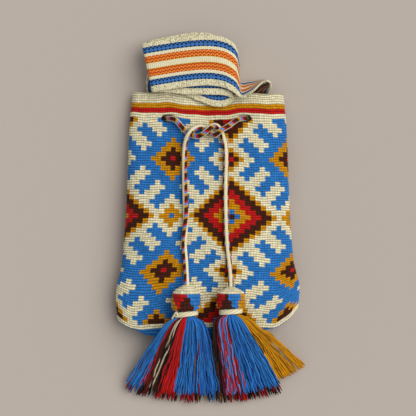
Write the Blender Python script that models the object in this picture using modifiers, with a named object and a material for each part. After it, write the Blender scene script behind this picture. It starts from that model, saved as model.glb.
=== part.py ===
"""Crocheted drawstring mochila bag, lying on its back with its strap folded above the mouth.

Metres, +Z up. X runs across the bag, +Y from the base towards the mouth. The origin is on the
floor plane, in the middle of the flat back of the body.
"""
import math

import bmesh
import bpy
from mathutils import Vector

# Body: a tube of 72 pattern columns, two stitches to a column and two courses to a row
ROW_HEIGHT = 0.00637
COLUMNS = 72
TILE = 24
TOP_ROW = 25
PATTERN_TOP_ROW = 20
LAST_ROW = -23
COLUMN_AT_LEFT = -22
SPIRAL_LEAN = 0.09
ROW_ZERO_Y = -0.0112
WALL = 0.003
MOUTH_HALF_WIDTH = 0.1026
SHOULDER_HALF_WIDTH = 0.1065
MIDDLE_HALF_WIDTH = 0.1118
HIP_HALF_WIDTH = 0.1168
LOWER_HALF_WIDTH = 0.1245
BASE_HALF_WIDTH = 0.1225
MOUTH_THICKNESS = 0.027
MIDDLE_THICKNESS = 0.039
LOWER_THICKNESS = 0.043
BASE_THICKNESS = 0.036
SQUARENESS = 2.6
BACK_SINK = 0.002
LEFT_CORNER_LIFT = 0.018
RIGHT_CORNER_LIFT = 0.034
CORNER_POWER = 5
BASE_DROP = 0.0075
BASE_DOME = 0.011
BASE_RINGS = (0.88, 0.62, 0.3)
INNER_ROW_STEP = 7

# Eyelets and drawstring
EYELET_LEFT_X = -0.0545
EYELET_RIGHT_X = 0.0495
EYELET_Y = 0.1215
EYELET_LENGTH = 0.0215
EYELET_WIDTH = 0.0125
RIM_LIFT = 0.0035
CORD_DIAMETER = 0.0074
CORD_STEP = 0.0115
CORD_GAP = 0.0006
CLEARANCE = 0.0003

# Tassels: a crocheted cap, a wound binding and a fringe of yarn, along -Y from the cap's top
CAP_LENGTH = 0.034
CAP_RADIUS = 0.0195
CAP_TOP_RADIUS = 0.0046
CAP_FLATNESS = 0.74
CAP_WALL = 0.003
CAP_GAP = 0.0009
BINDING_WIDTH = 0.0085
BINDING_RADIUS = 0.0158
NECK_RADIUS = 0.0115
NECK_IN_CAP = 0.012
FRINGE_LENGTH = 0.117
FRINGE_BULGE = 0.014
FRINGE_BULGE_LENGTH = 0.011
FRINGE_FLUTES = 10
FRINGE_DROP = [(0.0, 0.0), (0.016, -0.002), (0.045, -0.019), (0.085, -0.040),
               (FRINGE_LENGTH, -0.046)]
LEFT_SPREAD = (-31, 12)
RIGHT_SPREAD = (10, 38.5)
TASSEL_TOP_Y = -0.1055
LEFT_TASSEL_X = -0.0287
RIGHT_TASSEL_X = 0.0305

# The unit of the two routes below
ROUTE_UNIT = 0.001

# Strap: a woven band
STRAP_THICKNESS = 0.0026
STRAP_STEP = 0.0115
STRAP_FIELDS = 9

CREAM = (0.80, 0.74, 0.58)
BLUE = (0.05, 0.22, 0.60)
BROWN = (0.09, 0.025, 0.015)
GOLD = (0.62, 0.33, 0.02)
RED = (0.50, 0.02, 0.02)
NAVY = (0.06, 0.13, 0.28)
RUST = (0.60, 0.16, 0.03)
YARNS = {"cream": CREAM, "blue": BLUE, "brown": BROWN, "gold": GOLD, "red": RED,
         "navy": NAVY, "rust": RUST}

# Rings of colour from the middle of each stepped diamond outwards
LARGE_DIAMOND = ("brown", "blue", "gold", "gold", "red", "red", "brown", "brown", "gold")
MEDIUM_DIAMOND = ("red", "brown", "brown", "gold", "gold")
SMALL_GOLD_DIAMOND = ("blue", "gold", "gold")
SMALL_DARK_DIAMOND = ("red", "brown", "gold")
LAST_LARGE_DIAMOND = ("blue", "blue", "blue", "blue", "red", "red", "brown", "brown", "gold")
LAST_MEDIUM_DIAMOND = ("brown", "brown", "brown", "brown", "gold")
RIM_BANDS = {25: "cream", 24: "cream", 23: "gold", 22: "red", 21: "cream"}
STRAP_STRIPES = ("cream", "navy", "cream", "rust", "cream", "rust", "cream", "navy", "cream")

# The drawstring's route, from the left cap over the front, through both eyelets and to the
# right cap, in millimetres. The third number is the cord's height above the front, or with
# True after it, its height above the floor
CORD_ROUTE = [
    (-28.7, -104.9, "cap"), (-28.8, -95, "cap"), (-29.5, -83, 4), (-30.5, -68, 0), (-31.8, -48, 0),
    (-30, -10, 0), (-31.2, 30, 0), (-31.8, 62, 0), (-31.5, 80, 0.5), (-30, 90, 4.5),
    (-26.5, 98.5, 8.4), (-20, 105.8, 8), (-10, 109.4, 3), (-1.5, 105.8, 0), (3.5, 101.4, 0.5),
    (8, 98.6, 3.4), (12.5, 100, 7.4), (18, 104.5, 8.8), (29, 111.5, 4.6), (38.5, 118.8, 34, True),
    (44.5, 120.8, 30.2, True), (50.5, 121.4, 23.6, True), (57.5, 121.8, 17.8, True),
    (67, 121.6, 13.4, True), (80, 119, 11.5, True), (87, 114, 11.2, True),
    (80, 107, 8.5, True), (60, 104, 7.8, True), (30, 104, 7.6, True), (0, 104, 7.6, True),
    (-30, 104, 7.6, True), (-60, 104, 7.8, True), (-80, 107, 8.5, True), (-87, 114, 11.2, True),
    (-83, 119, 11.5, True), (-72, 121.6, 13.4, True), (-62.5, 121.8, 17.8, True),
    (-55.5, 121.4, 23.6, True), (-49.5, 120.8, 30.2, True), (-43.5, 118.4, 34, True),
    (-35, 109, 2), (-25.5, 100, 0), (-13, 96.4, 3.4), (-2, 103.2, 9), (3.5, 108.6, 7.8),
    (9, 111.2, 3.8), (14.5, 108.6, 0.3), (18, 102.5, 0), (20.8, 94, 0), (23.5, 82, 0),
    (24.3, 62, 0), (23.6, 30, 0), (24, -10, 0), (25.7, -48, 0), (27.8, -68, 0),
    (29.6, -83, 4), (30.5, -95, "cap"), (30.5, -104.9, "cap"),
]

# The strap's route from its right end inside the mouth to its left end there, in millimetres
# and degrees. Each station gives a point of its near edge (x, y, z), the way from there to its
# far edge (azimuth, drop) and its width, which is smaller where the band is gathered
STRAP_ROUTE = [
    (80, 130, 5.55, 180, 1.2, 30), (80.5, 144, 6.6, 180, 3, 30), (81, 153.5, 12, 178, 10, 31),
    (83, 158.5, 25, 175, 42, 33), (85, 163, 35, 160, 69, 35), (84.2, 168.5, 38.4, 130, 82, 36),
    (79, 171, 40.2, 100, 84, 38), (71.6, 167.5, 42.6, 95, 80, 41), (59.4, 159, 44, 92, 67, 46),
    (48.3, 152, 43, 90, 51, 53), (41, 154, 41, 90, 33, 60), (33.8, 158.5, 40.2, 90, 15, 66),
    (20, 163, 38.6, 90, 8, 69), (-1.4, 165.2, 38.4, 93, 7, 69), (-31, 163.8, 38.2, 97, 7, 69),
    (-58, 160.4, 37.8, 98, 7, 69), (-71.5, 158.6, 37.2, 97, 7, 69), (-75.8, 158, 35.3, 97, 7, 69),
    (-71.5, 157.4, 33.4, 97, 7, 69), (-58, 158, 33.2, 95, 7, 69), (-30, 163.5, 33.6, 93, 7, 69),
    (0, 163, 33.8, 92, 7, 69), (20, 155, 33.6, 95, 7, 69), (30.5, 150, 32.4, 100, 7, 69),
    (34.8, 146, 31.2, 102, 7, 69), (31, 141, 29.4, 100, 6, 69), (20, 137, 29.2, 95, 6, 69),
    (5.4, 138, 29.2, 92, 6, 69), (-10.8, 144, 29.2, 92, 6, 69), (-28, 151, 29, 92, 6, 69),
    (-46, 156.5, 28.8, 93, 6, 69), (-62, 158, 28.4, 94, 6, 69), (-70, 158.5, 27.6, 94, 6, 69),
    (-74, 158.5, 25.6, 94, 6, 69), (-70, 158.5, 23.6, 94, 6, 69), (-50, 160.5, 22.4, 93, 6, 69),
    (-20, 165, 21, 91, 6, 69), (6, 163, 20, 92, 6, 69), (20, 159, 19.6, 93, 5, 69),
    (24.6, 158.5, 17.3, 94, 5, 69), (20, 158.5, 15, 94, 5, 69), (0, 158.5, 13.8, 92, 5, 69),
    (-18, 158.5, 12.3, 91, 4, 69), (-36, 159, 10.6, 98, 4, 62), (-48, 158.6, 9, 122, 2, 48),
    (-53.5, 154, 7.4, 152, 0, 36), (-53, 147, 6, 172, -1, 30), (-52.5, 139, 5.1, 180, -2, 30),
    (-52.5, 130, 4.9, 180, -2, 30),
]


def clear_scene():
    for thing in list(bpy.data.objects):
        bpy.data.objects.remove(thing, do_unlink=True)


def yarn_material(name, colour, roughness=0.9):
    material = bpy.data.materials.new(name)
    material.use_nodes = True
    shader = material.node_tree.nodes["Principled BSDF"]
    shader.inputs["Base Color"].default_value = (*colour, 1.0)
    shader.inputs["Roughness"].default_value = roughness
    shader.inputs["Metallic"].default_value = 0.0
    return material


def add_object(name, mesh, collection, smooth=True):
    thing = bpy.data.objects.new(name, mesh)
    collection.objects.link(thing)
    if smooth:
        mesh.shade_smooth()
        mesh.set_sharp_from_angle(angle=math.radians(50))
    return thing


def ease(value):
    value = min(1.0, max(0.0, value))
    return value * value * (3.0 - 2.0 * value)


def through(stops, at):
    """Smooth value at a place, through (place, value) stops in rising order."""
    at = min(max(at, stops[0][0]), stops[-1][0])
    k = 0
    while k < len(stops) - 2 and at > stops[k + 1][0]:
        k += 1
    slopes = []
    for j in (k, k + 1):
        (low, start), (high, end) = stops[max(j - 1, 0)], stops[min(j + 1, len(stops) - 1)]
        slopes.append((end - start) / (high - low))
    (low, start), (high, end) = stops[k], stops[k + 1]
    span = high - low
    u = (at - low) / span
    return ((2 * u ** 3 - 3 * u ** 2 + 1) * start + (u ** 3 - 2 * u ** 2 + u) * span * slopes[0]
            + (3 * u ** 2 - 2 * u ** 3) * end + (u ** 3 - u ** 2) * span * slopes[1])


def curve_through(points, step):
    """Points at even spacing along a smooth curve through the given points."""
    fine = []
    last = len(points) - 1
    for k in range(last):
        before, start, end, after = (Vector(points[min(max(k + j, 0), last)]) for j in (-1, 0, 1, 2))
        for part in range(12):
            u = part / 12
            fine.append(0.5 * (2 * start + (end - before) * u
                               + (2 * before - 5 * start + 4 * end - after) * u ** 2
                               + (3 * start - before - 3 * end + after) * u ** 3))
    fine.append(Vector(points[last]))
    return even_points(fine, step=step)


def even_points(fine, step=None, count=None):
    """The same line with its points at even distances, a step apart or a count of them."""
    lengths = [0.0]
    for a, b in zip(fine, fine[1:]):
        lengths.append(lengths[-1] + math.dist(a, b))
    count = count or max(2, round(lengths[-1] / step) + 1)
    points = []
    k = 0
    for n in range(count):
        at = lengths[-1] * n / (count - 1)
        while k < len(lengths) - 2 and lengths[k + 1] < at:
            k += 1
        share = (at - lengths[k]) / max(lengths[k + 1] - lengths[k], 1e-12)
        points.append([a + (b - a) * share for a, b in zip(fine[k], fine[k + 1])])
    return points


def block_colour(column, row):
    """Yarn of one pattern block: stepped diamonds and bars, mirrored about each twelfth block."""
    if row > PATTERN_TOP_ROW:
        return RIM_BANDS[row]
    if row == LAST_ROW:
        return "cream"
    half = TILE // 2
    across = abs(column % TILE - half)
    along = abs(row % TILE - half)
    low = row < -half
    large = (half - across) + (half - along)
    medium = across + along
    small_gold = across + (half - along)
    small_dark = (half - across) + along
    for distance, rings in (
        (large, LAST_LARGE_DIAMOND if low else LARGE_DIAMOND),
        (medium, MEDIUM_DIAMOND),
        (small_gold, LAST_MEDIUM_DIAMOND if low else SMALL_GOLD_DIAMOND),
        (small_dark, SMALL_DARK_DIAMOND),
    ):
        if distance < len(rings):
            return rings[distance]
    bars = (
        abs(across + along - 6) <= 1 and along <= 6,
        abs(across - along - 6) <= 1 and along <= 3,
        abs(along - across - 6) <= 1 and 6 <= along <= 9,
        abs(across - along) <= 1 and 3 <= along <= 6,
        (across, along) in ((9, 4), (3, 10), (6, 7)),
    )
    return "blue" if any(bars) else "cream"


def half_width(row):
    return through([(LAST_ROW - 0.5, BASE_HALF_WIDTH), (-18, LOWER_HALF_WIDTH),
                    (-10, HIP_HALF_WIDTH), (0, MIDDLE_HALF_WIDTH), (19.5, SHOULDER_HALF_WIDTH),
                    (TOP_ROW + 0.5, MOUTH_HALF_WIDTH)], row)


def thickness(row):
    return through([(LAST_ROW - 0.5, BASE_THICKNESS), (-16, LOWER_THICKNESS),
                    (6, MIDDLE_THICKNESS), (TOP_ROW + 0.5, MOUTH_THICKNESS)], row)


def section(width, depth, count, turn):
    """A flattened round loop that lies on its back, from its left edge over the front."""
    fine = []
    for k in range(481):
        angle = math.pi - 2 * math.pi * k / 480
        c, s = math.cos(angle), math.sin(angle)
        x = width * math.copysign(abs(c) ** (2 / SQUARENESS), c)
        z = depth / 2 * (1 + math.copysign(abs(s) ** (2 / SQUARENESS), s))
        fine.append((x, max(z - BACK_SINK, 0.0)))
    whole = even_points(fine, count=16 * count + 1)
    start = round(turn * (len(whole) - 1))
    stride = (len(whole) - 1) // count
    return [whole[(start + k * stride) % (len(whole) - 1)] for k in range(count)]


def row_y(row, x, width):
    """Where a course runs: straight across, and curving up at its ends near the base."""
    y = ROW_ZERO_Y + row * ROW_HEIGHT
    side = max(-1.0, min(1.0, x / width))
    near_base = ease((-6 - row) / (-6 - LAST_ROW))
    near_mouth = ease((row - 12) / (TOP_ROW - 12))
    corner_lift = LEFT_CORNER_LIFT if side < 0 else RIGHT_CORNER_LIFT
    y += near_base * (corner_lift * abs(side) ** CORNER_POWER - BASE_DROP)
    for eyelet in (EYELET_LEFT_X, EYELET_RIGHT_X):
        y += near_mouth * RIM_LIFT * math.exp(-((x - eyelet) / EYELET_LENGTH) ** 2)
    return y


def front_height(x, y):
    """Height of the body's front above the floor at a place away from the base."""
    row = (y - ROW_ZERO_Y) / ROW_HEIGHT
    side = min(1.0, abs(x) / half_width(row)) ** (SQUARENESS / 2)
    rise = (1 - side * side) ** (1 / SQUARENESS)
    return thickness(row) / 2 * (1 + rise) - BACK_SINK


def body_loop(row, count, inset=0.0):
    """One course of the body as points, on its outside or a wall's thickness inside it."""
    width, depth = half_width(row) - inset, thickness(row) - 2 * inset
    turn = SPIRAL_LEAN * min(row, 0) / COLUMNS
    return [(x, row_y(row, x, half_width(row)), z + inset)
            for x, z in section(width, depth, count, turn)]


def base_loops(loop, dome):
    """Loops that close a course towards the middle of the base."""
    middle_z = sum(z for _, _, z in loop) / len(loop)
    lowest = min(y for _, y, _ in loop)
    rings = []
    for share in BASE_RINGS:
        rings.append([(x * share, lowest - dome * (1 - share ** 2) + (y - lowest) * share ** 2,
                       middle_z + (z - middle_z) * share) for x, y, z in loop])
    return rings, (0.0, lowest - dome, middle_z)


def skin_loops(bm, loops):
    """Join loops of as many points each with quads, row by row."""
    rings = [[bm.verts.new(point) for point in loop] for loop in loops]
    faces = []
    for low, high in zip(rings, rings[1:]):
        count = len(low)
        faces.append([bm.faces.new((low[k], low[(k + 1) % count], high[(k + 1) % count], high[k]))
                      for k in range(count)])
    return rings, faces


def fan(bm, ring, point):
    tip = bm.verts.new(point)
    return [bm.faces.new((ring[k], ring[(k + 1) % len(ring)], tip)) for k in range(len(ring))]


def body_mesh():
    bm = bmesh.new()
    rows = list(range(TOP_ROW, LAST_ROW - 1, -1))
    courses = [body_loop(row + 0.5, COLUMNS) for row in rows]
    courses.append(body_loop(LAST_ROW - 0.5, COLUMNS))
    domes, tip = base_loops(courses[-1], BASE_DOME)
    rings, strips = skin_loops(bm, courses + domes)
    yarn_names = list(YARNS)
    for strip, row in zip(strips, rows):
        for k, face in enumerate(strip):
            face.material_index = yarn_names.index(block_colour(k + COLUMN_AT_LEFT, row))
    base_faces = [face for strip in strips[len(rows):] for face in strip]
    for face in base_faces + fan(bm, rings[-1], tip):
        face.material_index = yarn_names.index("blue")

    inner_rows = list(range(TOP_ROW, LAST_ROW + 1, -INNER_ROW_STEP))
    inner = [body_loop(row + 0.5, COLUMNS // 2, WALL) for row in inner_rows]
    inner_domes, inner_tip = base_loops(inner[-1], BASE_DOME)
    inner_rings, _ = skin_loops(bm, inner + inner_domes[::2])
    fan(bm, inner_rings[-1], inner_tip)
    outer_rim, inner_rim = rings[0], inner_rings[0]
    for k in range(len(inner_rim)):
        after = (k + 1) % len(inner_rim)
        first, middle, last = (outer_rim[(2 * k + j) % len(outer_rim)] for j in range(3))
        bm.faces.new((first, middle, inner_rim[k]))
        bm.faces.new((middle, last, inner_rim[after], inner_rim[k]))

    flat = [face for face in bm.faces if max(vert.co.z for vert in face.verts) < 1e-6]
    bmesh.ops.dissolve_limit(bm, angle_limit=math.radians(1), delimit={"MATERIAL"},
                             verts=list({vert for face in flat for vert in face.verts}),
                             edges=list({edge for face in flat for edge in face.edges}))
    bmesh.ops.recalc_face_normals(bm, faces=bm.faces)
    mesh = bpy.data.meshes.new("bag_body")
    bm.to_mesh(mesh)
    bm.free()
    return mesh


def make_body(parts, cutters, yarns):
    body = add_object("bag_body", body_mesh(), parts)
    for material in yarns.values():
        body.data.materials.append(material)
    for side, x in (("left", EYELET_LEFT_X), ("right", EYELET_RIGHT_X)):
        bpy.ops.mesh.primitive_cylinder_add(vertices=20, radius=0.5, depth=MOUTH_THICKNESS)
        cutter = bpy.context.object
        cutter.name = f"eyelet_cutter_{side}"
        cutter.scale = (EYELET_LENGTH, EYELET_WIDTH, 1.0)
        cutter.location = (x, EYELET_Y, MOUTH_THICKNESS)
        cutter.hide_render = True
        cutter.display_type = "WIRE"
        for holder in list(cutter.users_collection):
            holder.objects.unlink(cutter)
        cutters.objects.link(cutter)
        cut = body.modifiers.new(f"eyelet_{side}", "BOOLEAN")
        cut.operation = "DIFFERENCE"
        cut.solver = "EXACT"
        cut.object = cutter
    return body


def turned(name, profile, parts, material, place, flatness):
    """A turned piece lying along Y. Its profile is (radius, distance up its axis), from its
    top down the outside and back up the inside."""
    mesh = bpy.data.meshes.new(name)
    count = len(profile)
    closed = profile[0][0] > 0
    edges = [(k, k + 1) for k in range(count - 1)] + ([(count - 1, 0)] if closed else [])
    mesh.from_pydata([(radius, 0.0, up) for radius, up in profile], edges, [])
    piece = add_object(name, mesh, parts, smooth=False)
    screw = piece.modifiers.new("turn", "SCREW")
    screw.steps = screw.render_steps = 20
    screw.use_merge_vertices = True
    screw.merge_threshold = 0.00005
    screw.use_normal_calculate = True
    screw.use_smooth_shade = True
    piece.rotation_euler = (-math.pi / 2, 0.0, 0.0)
    piece.scale = (1.0, flatness, 1.0)
    piece.location = place
    mesh.materials.append(material)
    return piece


def tassel_height(x):
    """Height of a tassel's axis, where its cap rests on the front of the body."""
    return front_height(x, TASSEL_TOP_Y - CAP_LENGTH / 2) + CAP_RADIUS * CAP_FLATNESS + CAP_GAP


def fringe_loop(distance, spread):
    """One section of a fringe: its strands lie side by side in a flattened, fluted bundle."""
    left_angle, right_angle = spread
    points = []
    count = 4 * FRINGE_FLUTES
    opened = ease(distance / FRINGE_LENGTH * 3)
    for k in range(count):
        around = 2 * math.pi * k / count
        side, up = -math.cos(around), math.sin(around)
        flute = 1 + 0.15 * opened * math.cos(around * FRINGE_FLUTES)
        angle = math.radians(left_angle + (right_angle - left_angle) * (side + 1) / 2)
        half_depth = through([(0, NECK_RADIUS * CAP_FLATNESS), (0.007, 0.0095), (0.03, 0.0085),
                              (FRINGE_LENGTH, 0.0055)], distance)
        middle_z = tassel_height(0.0) + through(FRINGE_DROP, distance)
        bulge = FRINGE_BULGE * ease(distance / FRINGE_BULGE_LENGTH)
        points.append((side * (NECK_RADIUS + bulge) + distance * math.sin(angle),
                       -distance * math.cos(angle * opened),
                       middle_z + up * flute * half_depth))
    return points


def fringe_mesh(name, x, spread):
    bm = bmesh.new()
    neck_y = TASSEL_TOP_Y - CAP_LENGTH - BINDING_WIDTH - CLEARANCE
    neck_top = BINDING_WIDTH + 2 * CLEARANCE + NECK_IN_CAP
    stops = (0.0, 0.0035, 0.0075, 0.012, 0.022, 0.04, 0.066, 0.092, FRINGE_LENGTH)
    neck = [(px, py + neck_top, pz) for px, py, pz in fringe_loop(0.0, spread)]
    loops = [neck] + [fringe_loop(stop, spread) for stop in stops]
    loops = [[(px + x, py + neck_y, pz) for px, py, pz in loop] for loop in loops]
    rings, _ = skin_loops(bm, loops)
    middle = [sum(part) / len(loops[0]) for part in zip(*loops[0])]
    fan(bm, rings[0], middle)
    end = [sum(part) / len(loops[-1]) for part in zip(*loops[-1])]
    fan(bm, rings[-1], (end[0], end[1], end[2]))
    bmesh.ops.recalc_face_normals(bm, faces=bm.faces)
    mesh = bpy.data.meshes.new(name)
    bm.to_mesh(mesh)
    bm.free()
    return mesh


def make_tassel(side, x, spread, parts, yarns):
    top = CAP_LENGTH
    crown = [(0.0, top), (CAP_TOP_RADIUS, top), (0.0112, top - 0.0032),
             (CAP_RADIUS - 0.0022, top - 0.0078), (CAP_RADIUS - 0.0013, top - 0.0103),
             (CAP_RADIUS - 0.0005, top - 0.0180), (CAP_RADIUS, top - 0.0260),
             (CAP_RADIUS - 0.0002, 0.0026), (CAP_RADIUS - 0.0016, 0.0)]
    hollow = [(CAP_RADIUS - 0.0016 - CAP_WALL, 0.0), (CAP_RADIUS - CAP_WALL, 0.0080),
              (CAP_RADIUS - CAP_WALL, top - 0.0135), (0.0100, top - 0.0095), (0.0, top - 0.0090)]
    place = (x, TASSEL_TOP_Y - CAP_LENGTH, tassel_height(0.0))
    turned(f"tassel_cap_{side}", crown + hollow, parts, yarns["brown"], place, CAP_FLATNESS)
    inner = NECK_RADIUS + CLEARANCE
    ring = [(inner, BINDING_WIDTH), (BINDING_RADIUS - 0.001, BINDING_WIDTH),
            (BINDING_RADIUS, BINDING_WIDTH * 0.7), (BINDING_RADIUS, BINDING_WIDTH * 0.3),
            (BINDING_RADIUS - 0.001, 0.0), (inner, 0.0)]
    place = (x, TASSEL_TOP_Y - CAP_LENGTH - CLEARANCE - BINDING_WIDTH, tassel_height(0.0))
    turned(f"tassel_binding_{side}", ring, parts, yarns["cream"], place, CAP_FLATNESS)
    name = f"tassel_fringe_{side}"
    fringe = add_object(name, fringe_mesh(name, x, spread), parts)
    fringe.data.materials.append(yarns["blue"])


def make_drawstring(parts, yarns):
    curve = bpy.data.curves.new("drawstring", "CURVE")
    curve.dimensions = "3D"
    curve.bevel_depth = CORD_DIAMETER / 2
    curve.bevel_resolution = 2
    curve.use_fill_caps = True
    route = []
    for x, y, height, *from_floor in CORD_ROUTE:
        x, y = x * ROUTE_UNIT, y * ROUTE_UNIT
        if height == "cap":
            z = tassel_height(0.0)
        elif from_floor:
            z = height * ROUTE_UNIT
        else:
            z = front_height(x, y) + CORD_DIAMETER / 2 + CORD_GAP + height * ROUTE_UNIT
        route.append((x, y, z))
    points = curve_through(route, CORD_STEP)
    spline = curve.splines.new("POLY")
    spline.points.add(len(points) - 1)
    for place, point in zip(spline.points, points):
        place.co = (*point, 1.0)
    curve.materials.append(yarns["cream"])
    parts.objects.link(bpy.data.objects.new("drawstring", curve))


def strap_section(near, away, out, width):
    """Points over the band's face from its near edge, then back along its other face."""
    across = [near + away * (width * k / STRAP_FIELDS) for k in range(STRAP_FIELDS + 1)]
    half = out * (STRAP_THICKNESS / 2)
    return [point + half for point in across] + [point - half for point in reversed(across)]


def strap_frames():
    """Places along the strap: its near edge, the way to its far edge, its face's way, its width."""
    stations = []
    for x, y, z, azimuth, drop, width in STRAP_ROUTE:
        azimuth, drop = math.radians(azimuth), math.radians(drop)
        stations.append((x * ROUTE_UNIT, y * ROUTE_UNIT, z * ROUTE_UNIT,
                         math.cos(drop) * math.cos(azimuth), math.cos(drop) * math.sin(azimuth),
                         -math.sin(drop), width * ROUTE_UNIT))
    places = strap_places(stations)
    frames = []
    for k, place in enumerate(places):
        before, after = places[max(k - 1, 0)], places[min(k + 1, len(places) - 1)]
        away = Vector(place[3:6]).normalized()
        forward = Vector(after[:3]) - Vector(before[:3])
        middle = (Vector(after[:3]) + Vector(after[3:6]) * after[6] / 2
                  - Vector(before[:3]) - Vector(before[3:6]) * before[6] / 2)
        out = away.cross(forward.normalized() + middle.normalized()).normalized()
        frames.append((Vector(place[:3]), away, out, place[6]))
    return frames


def strap_places(stations):
    """The route's own stations, with more between those that lie far apart."""
    places = []
    last = len(stations) - 1
    for k in range(last):
        before, start, end, after = (stations[min(max(k + j, 0), last)] for j in (-1, 0, 1, 2))
        parts = max(1, round(math.dist(start[:3], end[:3]) / STRAP_STEP))
        for part in range(parts):
            u = part / parts
            places.append([0.5 * (2 * s + (e - b) * u + (2 * b - 5 * s + 4 * e - a) * u ** 2
                                  + (3 * s - b - 3 * e + a) * u ** 3)
                           for b, s, e, a in zip(before, start, end, after)])
    return places + [stations[last]]


def make_strap(parts, yarns):
    bm = bmesh.new()
    rings, strips = skin_loops(bm, [strap_section(*frame) for frame in strap_frames()])
    names = list(YARNS)
    for strip in strips:
        for k, face in enumerate(strip):
            field = k if k < STRAP_FIELDS else 0
            face.material_index = names.index(STRAP_STRIPES[field])
    for ring in (rings[0], rings[-1]):
        bm.faces.new(ring)
    bmesh.ops.recalc_face_normals(bm, faces=bm.faces)
    mesh = bpy.data.meshes.new("strap")
    bm.to_mesh(mesh)
    bm.free()
    strap = add_object("strap", mesh, parts)
    for material in yarns.values():
        strap.data.materials.append(material)


def main():
    clear_scene()
    parts = bpy.data.collections.new("wayuu_mochila_bag")
    cutters = bpy.data.collections.new("cutters")
    for collection in (parts, cutters):
        bpy.context.scene.collection.children.link(collection)
    yarns = {name: yarn_material(f"yarn_{name}", colour) for name, colour in YARNS.items()}
    make_body(parts, cutters, yarns)
    make_drawstring(parts, yarns)
    make_tassel("left", LEFT_TASSEL_X, LEFT_SPREAD, parts, yarns)
    make_tassel("right", RIGHT_TASSEL_X, RIGHT_SPREAD, parts, yarns)
    make_strap(parts, yarns)


main()
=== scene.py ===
"""Crocheted drawstring mochila: yarn stitches, woven strap, braided cord and tassels over the frame."""
import math

import bpy
import numpy as np
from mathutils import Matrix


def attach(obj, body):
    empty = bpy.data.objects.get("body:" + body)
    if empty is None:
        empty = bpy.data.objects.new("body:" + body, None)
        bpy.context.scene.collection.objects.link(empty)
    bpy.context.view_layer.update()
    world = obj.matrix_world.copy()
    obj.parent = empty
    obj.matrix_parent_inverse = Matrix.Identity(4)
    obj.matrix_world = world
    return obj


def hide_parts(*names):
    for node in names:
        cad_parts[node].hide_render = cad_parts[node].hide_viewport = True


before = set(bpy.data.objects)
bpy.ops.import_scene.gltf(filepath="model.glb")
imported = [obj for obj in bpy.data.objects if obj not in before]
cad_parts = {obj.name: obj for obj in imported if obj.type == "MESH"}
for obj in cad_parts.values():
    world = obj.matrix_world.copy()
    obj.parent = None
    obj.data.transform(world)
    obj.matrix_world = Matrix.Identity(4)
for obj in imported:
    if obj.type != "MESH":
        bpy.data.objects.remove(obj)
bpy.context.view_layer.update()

rng = np.random.default_rng(7)

# The body, as in the part. Lengths are in metres, rows and columns in blocks of the pattern, and
# the stops are (row, half width) and (row, thickness)
ROW_HEIGHT = 0.00637
COLUMNS = 72
TILE = 24
TOP_ROW = 25
PATTERN_TOP_ROW = 20
LAST_ROW = -23
COLUMN_AT_LEFT = -22
SPIRAL_LEAN = 0.09
ROW_ZERO_Y = -0.0112
WALL = 0.003
SQUARENESS = 2.6
BACK_SINK = 0.002
LEFT_CORNER_LIFT = 0.018
RIGHT_CORNER_LIFT = 0.034
CORNER_POWER = 5
BASE_DROP = 0.0075
BASE_DOME = 0.011
WIDTH_STOPS = [(-23.5, 0.1225), (-18, 0.1245), (-10, 0.1168), (0, 0.1118), (19.5, 0.1065),
               (25.5, 0.1026)]
DEPTH_STOPS = [(-23.5, 0.036), (-16, 0.043), (6, 0.039), (25.5, 0.027)]
EYELETS = (-0.0545, 0.0495)
EYELET_Y = 0.1215
RIM_LIFT = 0.0035
RIM_LIFT_LENGTH = 0.0215

# Drawstring, tassels and strap, as in the part
CORD_DIAMETER = 0.0074
CORD_GAP = 0.0006
CAP_LENGTH = 0.034
CAP_RADIUS = 0.0195
CAP_FLATNESS = 0.74
CAP_GAP = 0.0009
BINDING_WIDTH = 0.0085
CLEARANCE = 0.0003
NECK_RADIUS = 0.0115
FRINGE_LENGTH = 0.117
FRINGE_BULGE = 0.014
FRINGE_BULGE_LENGTH = 0.011
FRINGE_DROP = [(0.0, 0.0), (0.016, -0.002), (0.045, -0.019), (0.085, -0.040), (FRINGE_LENGTH, -0.046)]
TASSEL_TOP_Y = -0.1055
TASSELS = {"left": -0.0287, "right": 0.0305}
STRAP_THICKNESS = 0.0026

# The visible tassels against the part's: (how much higher, length of the cap, length of the
# strands as a share)
TASSEL_PLACES = {"left": (0.0026, 0.034, 1.01), "right": (0.0, 0.0282, 1.045)}

# Quads across one stitch on the front and on the back, and along one course
FRONT_STITCH = 3
BACK_STITCH = 2
COURSE = 4
STITCHES = 2 * COLUMNS
COURSES = 2 * (TOP_ROW - LAST_ROW + 1)
BASE_COURSES = 11
# How far the base closes towards its middle, as a share
BASE_CLOSES = 0.94
STITCH_RELIEF = 0.00125
STITCH_SINK = 0.0007
STITCH_LEAN = 0.55
# The stitches stand out above this height only, and fully this much higher
FLAT_BELOW = 0.0005
FLAT_FADE = 0.006


def srgb(r, g, b):
    c = np.array([r, g, b]) / 255.0
    return np.where(c <= 0.04045, c / 12.92, ((c + 0.055) / 1.055) ** 2.4)


YARN = {
    "cream": srgb(242, 232, 192), "blue": srgb(46, 124, 200), "brown": srgb(70, 28, 10),
    "gold": srgb(212, 144, 0), "red": srgb(196, 20, 18), "navy": srgb(4, 7, 12),
    "sky": srgb(78, 146, 222), "rust": srgb(180, 48, 8), "orange": srgb(238, 142, 54),
    "black": srgb(14, 8, 8), "light": srgb(108, 138, 206), "wine": srgb(116, 10, 22),
    "olive": srgb(112, 84, 20), "linen": srgb(206, 188, 158), "denim": srgb(60, 114, 182),
    "cobalt": srgb(28, 92, 172),
}
LARGE_DIAMOND = ("brown", "blue", "gold", "gold", "red", "red", "brown", "brown", "gold")
MEDIUM_DIAMOND = ("red", "brown", "brown", "gold", "gold")
SMALL_GOLD_DIAMOND = ("blue", "gold", "gold")
SMALL_DARK_DIAMOND = ("red", "brown", "gold")
LAST_LARGE_DIAMOND = ("blue", "blue", "blue", "blue", "red", "red", "brown", "brown", "gold")
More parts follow.
